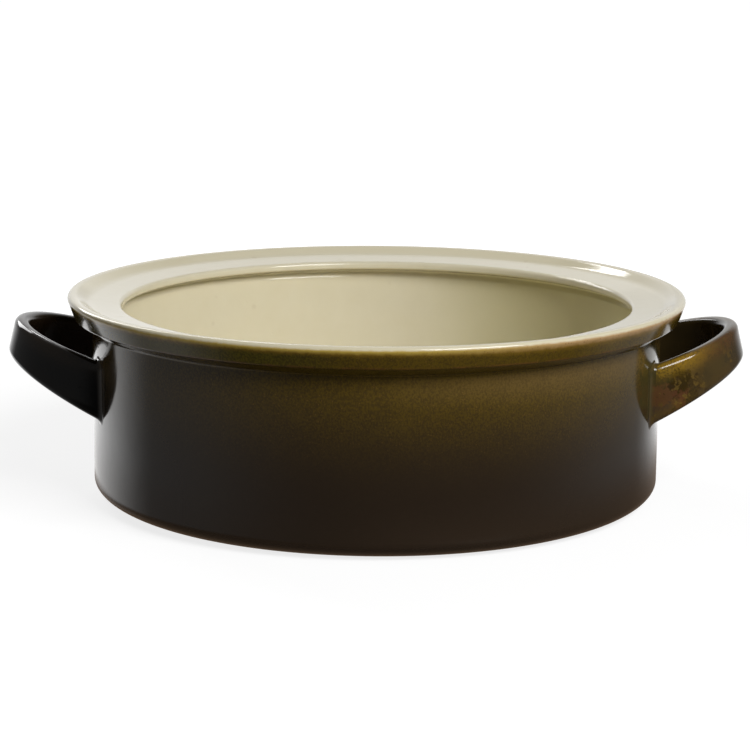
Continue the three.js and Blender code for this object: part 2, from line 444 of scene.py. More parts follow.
for side, turn_round in (("right", False), ("left", True)):
    make_piece(f"{side}_strap_clay", *skinned(strap_clay_rows, turn_round=turn_round),
               f"{side}_handle_strap", "bare_clay")
    make_piece(f"{side}_strap_coat", *skinned(strap_coat_rows, loop=True, turn_round=turn_round),
               f"{side}_handle_glaze", "brown_glaze")
    for rear in (False, True):
        end = "rear" if rear != turn_round else "front"
        make_piece(f"{side}_{end}_slip_fillet",
                   *skinned(fillet_rows(rear), loop=True, turn_round=turn_round),
                   f"{side}_{end}_slip_joint", "brown_glaze")

# %% [markdown]
# Marks that the finish reads
#
# Glaze runs thin on the edges of a strap and shows rust and ochre there. On the right strap, the
# side that faces the dish is darkened as painted shade. The shader has to know where those places
# are, and which surface is strap and not wall. So three numbers are stored on each point of a
# strap's coat, and two of them on the fillets. Vertex colours would also do, but plain numbers
# are easier to read.

# %% Strap share, thin edge and facing on each point
EDGE_REACH = 3.6
LOW_EDGE_SHARE = 0.15


def edge_of(spot, angle_share):
    """How thin the glaze is at a spot of the strap's section: 1 on the top edge, 0 far from it."""
    up_share = spot[1]
    away = (1 - abs(up_share)) * (strap_height(math.sin(math.pi * angle_share)) / 2 - STRAP_ROUND)
    return math.exp(-((away / EDGE_REACH) ** 2)) * (1.0 if up_share > 0 else LOW_EDGE_SHARE)


def mark(piece, name, values):
    """Stores one number on each point of a piece."""
    store = piece.data.attributes.new(name, "FLOAT", "POINT")
    store.data.foreach_set("value", values)


for side in ("right", "left"):
    coat = pieces[f"{side}_strap_coat"]
    along = [s / STRAP_STEPS for s in range(STRAP_STEPS + 1)]
    mark(coat, "thin_edge", [edge_of(spot, s) for s in along + along[::-1] for spot in spots])
    mark(coat, "strap_share", [1.0] * len(coat.data.vertices))
    faces_out = [math.cos(facing) for _, _, facing in spots]
    mark(coat, "faces_out", faces_out * (len(coat.data.vertices) // len(spots)))
    for end in ("front", "rear"):
        fillet = pieces[f"{side}_{end}_slip_fillet"]
        rows = len(fillet.data.vertices) // len(spots)
        shares = [min(max((r - 1) / FILLET_STEPS, 0), 1) for r in range(rows)]
        mark(fillet, "strap_share", [share for share in shares for _ in spots])
        mark(fillet, "thin_edge", [share * edge_of(spot, 0) for share in shares for spot in spots])
print("marked pieces:", sum("strap_share" in p.data.attributes for p in pieces.values()))

# %% [markdown]
# Small helpers for nodes
#
# Glaze colour comes from a chain of many nodes. The helpers below add a node, link or fill its
# sockets, and give back the output, so that each later line reads as one step of the finish.

# %% Helpers that add, link and fill nodes
def add_node(tree, kind, **settings):
    """A new node with some of its settings."""
    node = tree.nodes.new(kind)
    for name, value in settings.items():
        setattr(node, name, value)
    return node


def plug(tree, value, socket):
    """Links an output into a socket, or writes a plain value there."""
    if isinstance(value, bpy.types.NodeSocket):
        tree.links.new(value, socket)
    else:
        socket.default_value = value


def fill(tree, node, values):
    """Plugs values into the sockets that they name, and gives the node's outputs."""
    for name, value in values.items():
        plug(tree, value, node.inputs[name])
    return node.outputs


print("node helpers are ready")

# %% Helpers for numbers
def calc(tree, operation, *values, clamp=False):
    """One step of arithmetic."""
    node = add_node(tree, "ShaderNodeMath", operation=operation, use_clamp=clamp)
    for value, socket in zip(values, node.inputs):
        plug(tree, value, socket)
    return node.outputs[0]


def times(tree, product, *others):
    """The product of two or more numbers."""
    for other in others:
        product = calc(tree, "MULTIPLY", product, other)
    return product


def centred(tree, value):
    """A number between 0 and 1, moved to lie round 0."""
    return calc(tree, "SUBTRACT", value, 0.5)


def number_mix(tree, share, first, second):
    """The first number at share 0, the second at share 1."""
    kept = times(tree, first, calc(tree, "SUBTRACT", 1.0, share))
    return calc(tree, "ADD", kept, times(tree, second, share))


def fade(tree, value, start, end, low=0.0, high=1.0):
    """A soft step: low at start, high at end."""
    node = add_node(tree, "ShaderNodeMapRange", interpolation_type="SMOOTHSTEP")
    return fill(tree, node, {"Value": value, "From Min": start, "From Max": end,
                             "To Min": low, "To Max": high})["Result"]


print("number helpers are ready")

# %% Helpers for colours, noise and places
MIX_SOCKETS = (0, 6, 7)


def colour_mix(tree, share, first, second):
    """The first colour at share 0, the second at share 1."""
    node = add_node(tree, "ShaderNodeMix", data_type="RGBA")
    for value, number in zip((share, first, second), MIX_SOCKETS):
        plug(tree, (*value, 1) if isinstance(value, tuple) else value, node.inputs[number])
    return node.outputs[2]


def noise(tree, where, grain, detail=2.0, roughness=0.5):
    """Cloudy noise from 0 to 1; grain is how many clouds fit in a metre."""
    node = add_node(tree, "ShaderNodeTexNoise")
    return fill(tree, node, {"Vector": where, "Scale": grain, "Detail": detail,
                             "Roughness": roughness})["Fac"]


def place(tree):
    """Where a point is on the dish, in metres: the vector, and its x, y and z."""
    where = add_node(tree, "ShaderNodeTexCoord").outputs["Object"]
    split = add_node(tree, "ShaderNodeSeparateXYZ")
    tree.links.new(where, split.inputs[0])
    return where, *split.outputs


def from_axis(tree, x, y):
    """How far a point is from the dish's axis."""
    return calc(tree, "POWER", calc(tree, "ADD", times(tree, x, x), times(tree, y, y)), 0.5)


print("colour, noise and place helpers are ready")

# %% Helpers for groups
NUMBER = "NodeSocketFloat"


def new_group(name, inputs, outputs):
    """An empty shader node group with named sockets, and the sockets of its inner ends."""
    group = bpy.data.node_groups.new(name, "ShaderNodeTree")
    for socket_name, value in inputs.items():
        socket = group.interface.new_socket(socket_name, in_out="INPUT", socket_type=NUMBER)
        socket.default_value = value
    for socket_name in outputs:
        group.interface.new_socket(socket_name, in_out="OUTPUT", socket_type=NUMBER)
    given = add_node(group, "NodeGroupInput").outputs
    made = add_node(group, "NodeGroupOutput").inputs
    return group, given, made


def use_group(tree, group, **values):
    """A group placed in a material; a keyword's underscores stand for spaces."""
    node = add_node(tree, "ShaderNodeGroup", node_tree=group)
    named = {name.replace("_", " ").title(): value for name, value in values.items()}
    return fill(tree, node, named)


print("group helpers are ready")

# %% [markdown]
# Glaze thinning towards an edge
#
# Both glazes change colour where they end: the coat gets thin, and iron from the clay shows
# through. This group gives a mask that grows towards a height on the dish. Noise shifts the
# height a little, so the border wanders as a dipped border does.

# %% Group: thin glaze
thin_glaze, given, made = new_group(
    "Thin Glaze", {"Edge Height": 0.086, "Fade": 0.004, "Wander": 0.001, "Grain": 300.0}, ["Mask"])
tree = thin_glaze
where, _, _, z = place(tree)
wander = centred(tree, noise(tree, where, given["Grain"], 3.0))
height = calc(tree, "ADD", z, times(tree, wander, given["Wander"]))
start = calc(tree, "SUBTRACT", given["Edge Height"], given["Fade"])
plug(tree, fade(tree, height, start, given["Edge Height"]), made["Mask"])
print("group made:", thin_glaze.name)

# %% [markdown]
# Mottle and specks
#
# Fired glaze is never one colour. It has fine streaks from the way it ran, and specks where iron
# in the clay bled through. Both could be painted, but noise in the dish's own frame has no seams
# and keeps its scale on every piece.

# %% Group: kiln mottle
CLOUD_GRAIN = 0.09
FULL_SPREAD = 3.0

kiln_mottle, given, made = new_group(
    "Kiln Mottle", {"Grain": 600.0, "Streak": 0.35, "Clouds": 0.4, "Contrast": 1.0}, ["Shade"])
tree = kiln_mottle
where, x, y, z = place(tree)
squeeze = add_node(tree, "ShaderNodeCombineXYZ")
for value, socket in zip((x, y, times(tree, z, given["Streak"])), squeeze.inputs):
    plug(tree, value, socket)
fine = noise(tree, squeeze.outputs[0], given["Grain"], 3.0, 0.6)
broad = noise(tree, where, times(tree, given["Grain"], CLOUD_GRAIN), 2.0)
both = number_mix(tree, given["Clouds"], fine, broad)
spread = times(tree, centred(tree, both), times(tree, given["Contrast"], FULL_SPREAD))
plug(tree, calc(tree, "ADD", spread, 0.5, clamp=True), made["Shade"])
print("group made:", kiln_mottle.name)

# %% Group: iron specks
SPECK_BORDER = (0.32, 0.12)

iron_specks, given, made = new_group("Iron Specks", {"Grain": 500.0, "Amount": 0.3}, ["Mask"])
tree = iron_specks
cells = fill(tree, add_node(tree, "ShaderNodeTexVoronoi"),
             {"Vector": place(tree)[0], "Scale": given["Grain"]})
dot = fade(tree, cells["Distance"], *SPECK_BORDER)
pick = add_node(tree, "ShaderNodeSeparateColor")
plug(tree, cells["Color"], pick.inputs[0])
chosen = calc(tree, "LESS_THAN", pick.outputs[0], given["Amount"])
plug(tree, times(tree, dot, chosen), made["Mask"])
print("group made:", iron_specks.name)

# %% [markdown]
# The skin of a glaze
#
# Molten glaze levels out, but not fully: it keeps a faint ripple, and a few pinholes where gas
# came out. The group gives a height for a Bump node, and a roughness that wavers a little around
# the value the material asks for.

# %% Group: glaze skin
PIT_GRAIN, PIT_DEPTH = 420.0, 0.5
WAVER_GRAIN, WAVER = 60.0, (0.75, 1.3)

glaze_skin, given, made = new_group(
    "Glaze Skin", {"Ripple Grain": 120.0, "Pinholes": 0.03, "Roughness": 0.1},
    ["Height", "Roughness"])
tree = glaze_skin
where = place(tree)[0]
ripple = noise(tree, where, given["Ripple Grain"], 2.0, 0.4)
pits = use_group(tree, iron_specks, Grain=PIT_GRAIN, Amount=given["Pinholes"])["Mask"]
plug(tree, calc(tree, "SUBTRACT", ripple, times(tree, pits, PIT_DEPTH)), made["Height"])
waver = fade(tree, noise(tree, where, WAVER_GRAIN, 3.0), 0.3, 0.7, *WAVER)
plug(tree, times(tree, waver, given["Roughness"]), made["Roughness"])
print("group made:", glaze_skin.name)

# %% Helpers that start and end a material
finishes = {}


def new_finish(name):
    """A material with an empty Principled shader, its tree and that shader."""
    material = bpy.data.materials.new(name)
    material.use_nodes = True
    tree = material.node_tree
    tree.nodes.clear()
    shader = add_node(tree, "ShaderNodeBsdfPrincipled")
    tree.links.new(shader.outputs[0], add_node(tree, "ShaderNodeOutputMaterial").inputs[0])
    return material, tree, shader


def raise_skin(tree, shader, height, depth):
    """Feeds a height into the shader's normal through a Bump node; depth is in metres."""
    bump = add_node(tree, "ShaderNodeBump")
    bump.inputs["Distance"].default_value = depth
    plug(tree, height, bump.inputs["Height"])
    plug(tree, bump.outputs[0], shader.inputs["Normal"])


def glaze_over(tree, shader, depth, **values):
    """Gives a shader the skin of a glaze."""
    skin = use_group(tree, glaze_skin, **values)
    plug(tree, skin["Roughness"], shader.inputs["Roughness"])
    raise_skin(tree, shader, skin["Height"], depth)


print("material helpers are ready")

# %% [markdown]
# Bare clay
#
# Only the foot and the hollow under the dish show bare stoneware: buff, dry and speckled, with
# the fine rings that the trimming tool leaves as the dish turns.

# %% Finish: bare clay
CLAY_DEEP, CLAY_PALE = (0.36, 0.21, 0.11), (0.50, 0.33, 0.19)
CLAY_IRON = (0.07, 0.035, 0.02)
CLAY_ROUGHNESS = (0.72, 0.92)
TOOL_RINGS, RING_SHARE = 2600.0, 0.3
GRIT_GRAIN, GRIT_DEPTH = 1400.0, 0.00015

material, tree, shader = new_finish("bare_clay")
where, x, y, _ = place(tree)
mottle = use_group(tree, kiln_mottle, Grain=240.0, Streak=1.0, Contrast=0.8)["Shade"]
specks = use_group(tree, iron_specks, Grain=420.0, Amount=0.16)["Mask"]
buff = colour_mix(tree, mottle, CLAY_DEEP, CLAY_PALE)
buff = colour_mix(tree, times(tree, specks, 0.8), buff, CLAY_IRON)
plug(tree, buff, shader.inputs["Base Color"])
plug(tree, fade(tree, mottle, 0.0, 1.0, *CLAY_ROUGHNESS), shader.inputs["Roughness"])
rings = calc(tree, "SINE", times(tree, from_axis(tree, x, y), TOOL_RINGS))
grit = noise(tree, where, GRIT_GRAIN, 3.0)
raise_skin(tree, shader, calc(tree, "ADD", times(tree, rings, RING_SHARE), grit), GRIT_DEPTH)
finishes["bare_clay"] = material
print("finish made:", material.name)

# %% [markdown]
# Cream glaze
#
# The liner is a glossy cream with a warm cast. It is deeper on the lip. Inside on the right it is
# darker and yellower, as painted shade. In the last millimetre on the lip, where it meets the
# brown, it turns gold. Height, radius and the side of the dish say where each colour goes. Pairs of
# numbers in capitals say where a colour starts and where it is full, in metres.

# %% Finish: cream glaze
CREAM_PALE, CREAM_DEEP = (0.765, 0.712, 0.548), (0.705, 0.64, 0.455)
CREAM_IN_SHADE, CREAM_SPECK = (0.69, 0.635, 0.385), (0.35, 0.24, 0.12)
GOLD, PEACH = (0.52, 0.36, 0.07), (0.50, 0.31, 0.14)
INSIDE_RIGHT, INSIDE_TOP = (0.01, 0.085), (0.0800, 0.0785)
LIP_RISE, LIP_RADIUS, LIP_RIGHT = (0.0846, 0.0858), 0.1315, (0.01, 0.09)
CREAM_RIPPLE = 0.00006


def lip_colour(tree, x):
    """The last of the glaze on the lip: gold, and peach on the right."""
    return colour_mix(tree, fade(tree, x, *LIP_RIGHT), GOLD, PEACH)


material, tree, shader = new_finish("cream_glaze")
mottle = use_group(tree, kiln_mottle, Grain=90.0, Streak=1.0, Contrast=0.35)["Shade"]
specks = use_group(tree, iron_specks, Grain=170.0, Amount=0.05)["Mask"]
cream = colour_mix(tree, mottle, CREAM_DEEP, CREAM_PALE)
cream = colour_mix(tree, times(tree, specks, 0.12), cream, CREAM_SPECK)
_, x, y, z = place(tree)
# Painted shade: inside on the right, below the ledge, the cream is darker and yellower.
inside_shade = times(tree, fade(tree, x, *INSIDE_RIGHT), fade(tree, z, *INSIDE_TOP))
cream = colour_mix(tree, inside_shade, cream, CREAM_IN_SHADE)
cream = colour_mix(tree, fade(tree, z, *LIP_RISE, 0.0, 0.8), cream, CREAM_DEEP)
on_lip = calc(tree, "GREATER_THAN", from_axis(tree, x, y), LIP_RADIUS)
to_gold = use_group(tree, thin_glaze, Edge_Height=0.0859, Fade=-0.0012,
                    Wander=0.0008, Grain=420.0)["Mask"]
cream = colour_mix(tree, times(tree, to_gold, on_lip), cream, lip_colour(tree, x))
plug(tree, cream, shader.inputs["Base Color"])
glaze_over(tree, shader, CREAM_RIPPLE, Ripple_Grain=70.0, Pinholes=0.02, Roughness=0.09)
finishes["cream_glaze"] = material
print("finish made:", material.name)

# %% [markdown]
# Brown glaze
#
# The outer glaze is a deep brown that turns olive towards the rim, ochre on the lip, and rust on
# sharp edges. One side of the dish came out of the kiln more olive than the other: there the wall
# is tan under the rim, and the handle is mottled in olive and rust. The left handle is almost
# black. Each of these is one soft mask and one colour, laid over the last.

# %% Finish: brown glaze, from dark brown to olive
DARK_BROWN, OLIVE, LEFT_OLIVE = (0.026, 0.017, 0.0105), (0.108, 0.068, 0.008), (0.104, 0.083, 0.012)
FLECK, TAN = (0.19, 0.095, 0.028), (0.150, 0.094, 0.032)
DRIFT_GRAIN, DRIFT = 14.0, 0.08
KILN_SIDE, RIM_LEFT = (-0.13, 0.07), (-0.005, -0.045)
RIM_FACE_RISE = (0.0786, 0.0794)
OLIVE_RISE = 3.3

material, tree, shader = new_finish("brown_glaze")
where, x, y, z = place(tree)
drift = times(tree, centred(tree, noise(tree, where, DRIFT_GRAIN, 2.0)), DRIFT)
kiln_side = fade(tree, calc(tree, "ADD", x, drift), *KILN_SIDE)
mottle = use_group(tree, kiln_mottle, Grain=1400.0, Streak=0.8, Clouds=0.15, Contrast=1.1)["Shade"]
specks = use_group(tree, iron_specks, Grain=900.0, Amount=0.4)["Mask"]

olive_height = use_group(tree, thin_glaze, Edge_Height=0.078, Fade=0.078,
                         Wander=0.005, Grain=55.0)["Mask"]
rim_left = times(tree, fade(tree, x, *RIM_LEFT), fade(tree, z, *RIM_FACE_RISE))
olive_share = times(tree, calc(tree, "POWER", olive_height, OLIVE_RISE),
                    fade(tree, kiln_side, 0.0, 1.0, 0.55, 1.0))
olive_share = calc(tree, "MAXIMUM", olive_share, times(tree, rim_left, 0.85))
olive_share = times(tree, olive_share, fade(tree, mottle, 0.1, 0.9, 0.58, 1.24))
olive = colour_mix(tree, rim_left, OLIVE, LEFT_OLIVE)
wall = colour_mix(tree, olive_share, DARK_BROWN, olive)
wall = colour_mix(tree, times(tree, specks, olive_share, 0.5), wall, FLECK)
print("olive laid over the brown")

# %% Finish: brown glaze, the tan band and the lip
OCHRE, RUST = (0.27, 0.152, 0.02), (0.15, 0.055, 0.018)
TAN_RISE, TAN_TOP, TAN_RIGHT = (0.058, 0.071), (0.0745, 0.0725), (-0.03, 0.06)

tan_band = times(tree, fade(tree, z, *TAN_RISE), fade(tree, z, *TAN_TOP))
tan_band = times(tree, tan_band, fade(tree, x, *TAN_RIGHT, 0.0, 0.62))
wall = colour_mix(tree, times(tree, tan_band, fade(tree, mottle, 0.1, 0.9, 0.6, 1.0)), wall, TAN)

ochre_fade = fade(tree, x, 0.0, 0.09, 0.0030, 0.0044)
to_ochre = use_group(tree, thin_glaze, Edge_Height=0.0860, Fade=ochre_fade,
                     Wander=0.0016, Grain=260.0)["Mask"]
gold_fade = fade(tree, x, 0.0, 0.05, 0.0017, 0.0024)
to_gold = use_group(tree, thin_glaze, Edge_Height=0.0861, Fade=gold_fade,
                    Wander=0.0011, Grain=420.0)["Mask"]
ochre_share = times(tree, to_ochre, fade(tree, mottle, 0.0, 1.0, 0.65, 1.0))
wall = colour_mix(tree, ochre_share, wall, OCHRE)
wall = colour_mix(tree, to_gold, wall, lip_colour(tree, x))
bled = times(tree, specks, to_ochre, fade(tree, x, 0.0, 0.08, 0.3, 0.7))
wall = colour_mix(tree, bled, wall, RUST)
print("tan band and lip laid over the olive")

# %% Finish: brown glaze, the rim's low edge and the foot
EDGE_HEIGHT, EDGE_RADIUS, EDGE_BAND = 0.0790, 0.1285, (0.0009, 0.0002)
WEAR_GRAIN = 130.0
FOOT_RUST = (0.13, 0.05, 0.022)

off_edge = calc(tree, "ABSOLUTE", calc(tree, "SUBTRACT", z, EDGE_HEIGHT))
on_edge = times(tree, fade(tree, off_edge, *EDGE_BAND),
                calc(tree, "GREATER_THAN", from_axis(tree, x, y), EDGE_RADIUS))
worn = fade(tree, noise(tree, where, WEAR_GRAIN, 3.0), 0.35, 0.6)
wall = colour_mix(tree, times(tree, on_edge, worn, 0.35), wall, RUST)

to_foot = use_group(tree, thin_glaze, Edge_Height=0.0006, Fade=-0.0022,
                    Wander=0.0008, Grain=200.0)["Mask"]
wall = colour_mix(tree, times(tree, to_foot, 0.8), wall, FOOT_RUST)
print("wall colours are in the brown finish")

# %% [markdown]
# Colours of the straps
#
# The right strap came out olive gold, with a rust patch and a dark patch close to its front root.
# The left one is nearly black. Each patch is a soft ball in space with a ragged border, which is
# simpler than painting it and stays in place when the mesh changes.

# %% Patches on the right strap
RAGGED_GRAIN = 230.0

# Centre and reach in metres, strength, colour.
strap_patches = [
    ((0.1235, -0.0415, 0.0505), 0.0095, 0.85, (0.086, 0.037, 0.014)),
    ((0.1290, -0.0410, 0.0520), 0.0050, 0.75, (0.085, 0.030, 0.012)),
    ((0.1280, -0.0405, 0.0573), 0.0060, 0.95, (0.030, 0.018, 0.001)),
    ((0.1340, -0.0380, 0.0543), 0.0046, 0.75, (0.052, 0.031, 0.008)),
    ((0.1215, -0.0415, 0.0420), 0.0070, 0.75, (0.044, 0.030, 0.018)),
    ((0.1360, -0.0370, 0.0480), 0.0065, 0.60, (0.048, 0.034, 0.018)),
    ((0.1520, -0.0120, 0.0660), 0.0160, 0.75, (0.040, 0.029, 0.013)),
    ((0.1440, -0.0300, 0.0575), 0.0120, 0.70, (0.048, 0.034, 0.013)),
    ((0.1190, -0.0425, 0.0600), 0.0050, 0.80, (0.040, 0.032, 0.009)),
    ((0.1330, -0.0385, 0.0500), 0.0038, 0.90, (0.036, 0.023, 0.006)),
]


def patch_at(centre, reach):
    """A ragged patch round a place on the dish, in metres."""
    gap = add_node(tree, "ShaderNodeVectorMath", operation="DISTANCE")
    plug(tree, where, gap.inputs[0])
    gap.inputs[1].default_value = centre
    ragged = centred(tree, noise(tree, where, RAGGED_GRAIN, 4.0, 0.65))
    distance = calc(tree, "ADD", gap.outputs["Value"], times(tree, ragged, 2.0 * reach))
    return fade(tree, distance, reach, 0.75 * reach)


print("patches on the right strap:", len(strap_patches))

# %% Finish: brown glaze, the right strap
STRAP_OLIVE, STRAP_TAN = (0.066, 0.041, 0.011), (0.108, 0.066, 0.015)
FLECK_GOLD, FLECK_DARK = (0.125, 0.076, 0.015), (0.034, 0.020, 0.006)
MIXED_CENTRE, MIXED_REACH = (0.1300, -0.0400, 0.0520), 0.0120

cloud = fade(tree, noise(tree, where, 70.0, 4.0, 0.6), 0.35, 0.65)
right_strap = colour_mix(tree, cloud, STRAP_OLIVE, STRAP_TAN)
for centre, reach, strength, colour in strap_patches:
    patch = times(tree, patch_at(centre, reach), strength)
    right_strap = colour_mix(tree, patch, right_strap, colour)
mixed_zone = patch_at(MIXED_CENTRE, MIXED_REACH)
gold_flecks = fade(tree, noise(tree, where, 330.0, 3.0, 0.6), 0.54, 0.64, 0.0, 0.75)
right_strap = colour_mix(tree, times(tree, mixed_zone, gold_flecks), right_strap, FLECK_GOLD)
dark_flecks = fade(tree, noise(tree, where, 410.0, 3.0, 0.6), 0.46, 0.37, 0.0, 0.8)
right_strap = colour_mix(tree, times(tree, mixed_zone, dark_flecks), right_strap, FLECK_DARK)
print("patches and flecks are on the right strap")

# %% Finish: brown glaze, edges and inner sides of both straps
STRAP_GOLD, STRAP_RUST = (0.255, 0.148, 0.012), (0.090, 0.042, 0.014)
STRAP_INSIDE_SHADE = (0.020, 0.014, 0.006)
LEFT_FACE, LEFT_INSIDE = (0.0022, 0.0021, 0.0017), (0.018, 0.011, 0.006)
LEFT_EDGE = (0.06, 0.038, 0.02)
GOLD_TO_RUST = (0.128, 0.146)


def point_mark(name):
    """One of the numbers stored on the points."""
    return add_node(tree, "ShaderNodeAttribute", attribute_name=name).outputs["Fac"]


thin_edge, faces_out = point_mark("thin_edge"), point_mark("faces_out")
inner_side = fade(tree, faces_out, 0.0, -0.7)
grains = use_group(tree, kiln_mottle, Grain=1100.0, Streak=1.0, Contrast=1.3)["Shade"]
edge_colour = colour_mix(tree, fade(tree, x, *GOLD_TO_RUST), STRAP_GOLD, STRAP_RUST)
edge_share = times(tree, thin_edge, fade(tree, faces_out, 0.1, 0.6),
                   fade(tree, grains, 0.25, 0.75, 0.3, 1.0))
right_strap = colour_mix(tree, edge_share, right_strap, edge_colour)
# Painted shade: the right strap's side that faces the dish is darkened.
right_strap = colour_mix(tree, times(tree, inner_side, 0.85), right_strap, STRAP_INSIDE_SHADE)
left_strap = colour_mix(tree, inner_side, LEFT_FACE, LEFT_INSIDE)
left_strap = colour_mix(tree, times(tree, thin_edge, 0.22), left_strap, LEFT_EDGE)
print("edges and inner sides are on both straps")

# %% Finish: brown glaze, put together
ROOT_SHADE_GREEN = (0.050, 0.041, 0.012)
ROOT_SHADE_CENTRE, ROOT_SHADE_REACH = (0.1155, -0.0415, 0.0590), 0.0185
LEFT_TO_RIGHT = (-0.03, 0.10)
BROWN_RIPPLE = 0.00005

strap = colour_mix(tree, fade(tree, x, *LEFT_TO_RIGHT), left_strap, right_strap)
# Painted shade: the wall and fillet round the right strap's front root are darkened to a deep
# green.
root_shade = times(tree, patch_at(ROOT_SHADE_CENTRE, ROOT_SHADE_REACH), 0.85)
wall = colour_mix(tree, root_shade, wall, ROOT_SHADE_GREEN)
brown = colour_mix(tree, point_mark("strap_share"), wall, strap)
plug(tree, brown, shader.inputs["Base Color"])
glaze_over(tree, shader, BROWN_RIPPLE, Ripple_Grain=95.0, Pinholes=0.03, Roughness=0.11)
finishes["brown_glaze"] = material
print("finish made:", material.name)

# %% Give each piece its finish
for piece in pieces.values():
    piece.data.materials.append(finishes[piece["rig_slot"]])
print("finished pieces:", len(pieces))

# %% [markdown]
# Floor and surroundings
#
# The dish stands in a plain pale studio with a white sweep behind it and a dim room in front.
# To the camera the floor is white, and it still takes the shadow of the dish, because part of
# its white is lit and part glows. To soft light it is only a pale grey, so it doesn't light the
# dish from below. Shiny surfaces look past the floor into the surroundings, apart from a dim
# brown disc that lies there for them alone. The disc glows faintly, as a painted reflection: it
# stands for the shaded table that the turned-in base mirrors, and it darkens what the wall
# mirrors beside the dish, most of it on the right, where the pale edge of the wall dies out
# towards the foot.

# %% Helpers for the floor and the surroundings
def flat_sheet(name, points):
    """One flat face through some points."""
    mesh = bpy.data.meshes.new(name)
    mesh.from_pydata(points, [], [tuple(range(len(points)))])
    sheet = bpy.data.objects.new(name, mesh)
    bpy.context.scene.collection.objects.link(sheet)
    return sheet


def light_path(tree):
    """The kinds of ray, and 1 for what the camera sees straight on or through something clear."""
    path = add_node(tree, "ShaderNodeLightPath").outputs
    return path, calc(tree, "MAXIMUM", path["Is Camera Ray"], path["Is Transmission Ray"])


print("helpers for the surroundings are ready")

# %% Floor
FLOOR_HALF = 6.0
FLOOR_LIT = 0.30
GLOW_NEAR, GLOW_FAR = 0.80, 1.0
GLOW_REACH = (0.2, 0.75)

h = FLOOR_HALF
floor = flat_sheet("studio_floor", [(-h, -h, 0), (h, -h, 0), (h, h, 0), (-h, h, 0)])
floor.visible_glossy = False

floor_finish = bpy.data.materials.new("studio_white")
floor_finish.use_nodes = True
tree = floor_finish.node_tree
tree.nodes.clear()
_, x, y, _ = place(tree)
_, seen = light_path(tree)
glow = add_node(tree, "ShaderNodeEmission")
white = fade(tree, from_axis(tree, x, y), *GLOW_REACH, GLOW_NEAR, GLOW_FAR)
plug(tree, times(tree, seen, white), glow.inputs["Strength"])
lit = add_node(tree, "ShaderNodeBsdfDiffuse")
lit.inputs["Color"].default_value = (FLOOR_LIT, FLOOR_LIT, FLOOR_LIT, 1)
both = add_node(tree, "ShaderNodeAddShader")
plug(tree, glow.outputs[0], both.inputs[0])
plug(tree, lit.outputs[0], both.inputs[1])
plug(tree, both.outputs[0], add_node(tree, "ShaderNodeOutputMaterial").inputs[0])
floor.data.materials.append(floor_finish)
print("floor made, side in m:", 2 * FLOOR_HALF)

# %% Shaded table under and beside the dish
SHADE_RADIUS = 0.26
SHADE_SIDES = 96
UNDER_LIGHT = (0.15, 0.10, 0.065, 1)
BESIDE_REACH, UNDER_REACH = (0.225, 0.130), (0.146, 0.126)
BESIDE_LEFT, BESIDE_TURN = 0.28, (-0.05, 0.05)

bearings = [2 * math.pi * k / SHADE_SIDES for k in range(SHADE_SIDES)]
shade = flat_sheet("shaded_table", [
    (SHADE_RADIUS * math.cos(a), SHADE_RADIUS * math.sin(a), 0) for a in bearings])
for ray in ("camera", "diffuse", "transmission", "shadow"):
    setattr(shade, f"visible_{ray}", False)

# Painted reflection: a faintly glowing brown disc that only shiny surfaces see, under the dish and
# beside it on the right.
material, tree, shader = new_finish("deep_shade")
shader.inputs["Base Color"].default_value = (0, 0, 0, 1)
shader.inputs["Emission Color"].default_value = UNDER_LIGHT
shader.inputs["Emission Strength"].default_value = 1.0
_, x, y, _ = place(tree)
far = from_axis(tree, x, y)
beside = times(tree, fade(tree, far, *BESIDE_REACH),
               fade(tree, x, *BESIDE_TURN, BESIDE_LEFT, 1.0))
under = fade(tree, far, *UNDER_REACH)
plug(tree, calc(tree, "MAXIMUM", beside, under), shader.inputs["Alpha"])
shade.data.materials.append(material)
print("shaded disc made, radius in m:", SHADE_RADIUS)

# %% [markdown]
# What the glaze mirrors
#
# A shiny dark pot shows its surroundings more than its own colour. Behind this one is white
# paper, on the table and above it, and it makes the pale edges of the wall and the sheen of the
# lid seat. The paper ends beside the dish, and the room on the camera's side is dim, so the front
# of the pot stays dark. White card all round would be simpler, but would turn the brown grey.

# %% Table and paper, by the direction in which they lie
PAPER_TURN = 0.25
TABLE_DIM, TABLE_PAPER = (0.02, 0.26), 1.15
TABLE_FRONT, TABLE_BACK = (-1.0, 0.1), (0.40, 0.95)
CLOSE_BY, CLOSE_BY_RIGHT = 0.55, 0.4
CLOSE_BACK, CLOSE_LEFT = (-0.2, 0.35), (0.2, -0.3)
SWEEP_DIM, SWEEP_LEFT, SWEEP_RIGHT = 0.12, 1.05, 0.78
SWEEP_BACK, SWEEP_MIDDLE, SWEEP_HIGH = (0.60, 0.95), (-0.06, 0.06), (0.20, 0.25)
STEEP, HORIZON = (-0.52, -0.66), (-0.18, -0.08)

world = bpy.data.worlds.new("white_studio")
bpy.context.scene.world = world
world.use_nodes = True
tree = world.node_tree
tree.nodes.clear()
split = add_node(tree, "ShaderNodeSeparateXYZ")
plug(tree, add_node(tree, "ShaderNodeTexCoord").outputs["Generated"], split.inputs[0])
to_right, to_back, to_top = split.outputs

